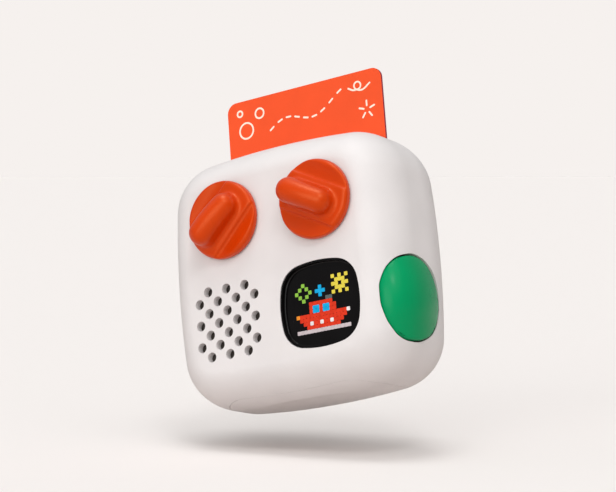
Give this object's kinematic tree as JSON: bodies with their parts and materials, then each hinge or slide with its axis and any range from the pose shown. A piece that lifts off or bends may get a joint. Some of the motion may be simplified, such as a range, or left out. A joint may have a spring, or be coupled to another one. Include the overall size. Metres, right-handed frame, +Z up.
{
  "type": "audio story player",
  "caption": "Palm-sized pillow-shaped story player: ridged push knobs, pixel display, round-hole grille, domed side power button and a card standing in the top slot.",
  "frame": {"origin": "in the flat under the base pad, below the middle of the case's width and 1.7 mm in front of the card's plane", "axes": "+X to the right of someone facing the player, +Y to its back, +Z up"},
  "size_m": [0.0787, 0.0503, 0.0949],
  "materials": {
    "shell": "satin moulded",
    "pad": "matt",
    "knob": "satin",
    "button": "satin",
    "window": "polished",
    "card": "laminated print",
    "steel": "zinc plated",
    "encoder": "pressed",
    "shaft": "turned",
    "wiper": "pressed",
    "board": "solder mask",
    "black": "matt",
    "cloth": "woven",
    "foam": "foam",
    "magnet": "zinc plated",
    "guide": "natural",
    "cell": "pouch"
  },
  "bodies": {
    "case": {"base_pad": "pad", "battery": "cell", "battery_pad": "foam", "board_chips": "black", "button_board": "board", "card_antenna": "board", "card_guide": "guide", "control_board": "board", "control_board_screws": "steel", "cover_screws": "steel", "display_lens": "window", "encoder_case_left": "encoder", "encoder_case_right": "encoder", "ferrite_sheet": "foam", "front_housing": "shell", "grille_cloth": "cloth", "guide_screws": "steel", "headphone_jack": "black", "led_board": "board", "led_board_screws": "steel", "light_baffle": "black", "main_board": "board", "main_board_screws": "steel", "push_dome_left": "steel", "push_dome_right": "steel", "rear_cover": "shell", "shield_can": "steel", "speaker_basket": "steel", "speaker_cone": "cloth", "speaker_gasket": "foam", "speaker_magnet": "magnet", "speaker_screws": "steel", "tact_switch": "black", "usb_socket": "steel"},
    "left_rotor": {"encoder_rotor_left": "wiper"},
    "right_rotor": {"encoder_rotor_right": "wiper"},
    "left_knob": {"encoder_shaft_left": "shaft", "knob_left": "knob"},
    "right_knob": {"encoder_shaft_right": "shaft", "knob_right": "knob"},
    "power_button": {"power_button": "button", "switch_stem": "black"},
    "card": {"story_card": "card"}
  },
  "joints": [
    {"name": "left_turn", "type": "hinge", "parent": "case", "child": "left_rotor", "pos_m": [-0.0147, -0.0172, 0.053], "axis": [0, 1, 0], "continuous": true},
    {"name": "left_push", "type": "slide", "parent": "left_rotor", "child": "left_knob", "axis": [0, 1, 0], "range_m": [0, 0.0005], "stiffness_N_per_m": 2500, "springref_m": -0.0004},
    {"name": "right_turn", "type": "hinge", "parent": "case", "child": "right_rotor", "pos_m": [0.0165, -0.0172, 0.053], "axis": [0, 1, 0], "continuous": true},
    {"name": "right_push", "type": "slide", "parent": "right_rotor", "child": "right_knob", "axis": [0, 1, 0], "range_m": [0, 0.0005], "stiffness_N_per_m": 2500, "springref_m": -0.0004},
    {"name": "power_press", "type": "slide", "parent": "case", "child": "power_button", "axis": [-1, 0, 0], "range_m": [0, 0.0006], "stiffness_N_per_m": 2000, "springref_m": -0.0005},
    {"name": "card_lift", "type": "slide", "parent": "case", "child": "card", "axis": [0, 0, 1], "range_m": [0, 0.066]}
  ]
}
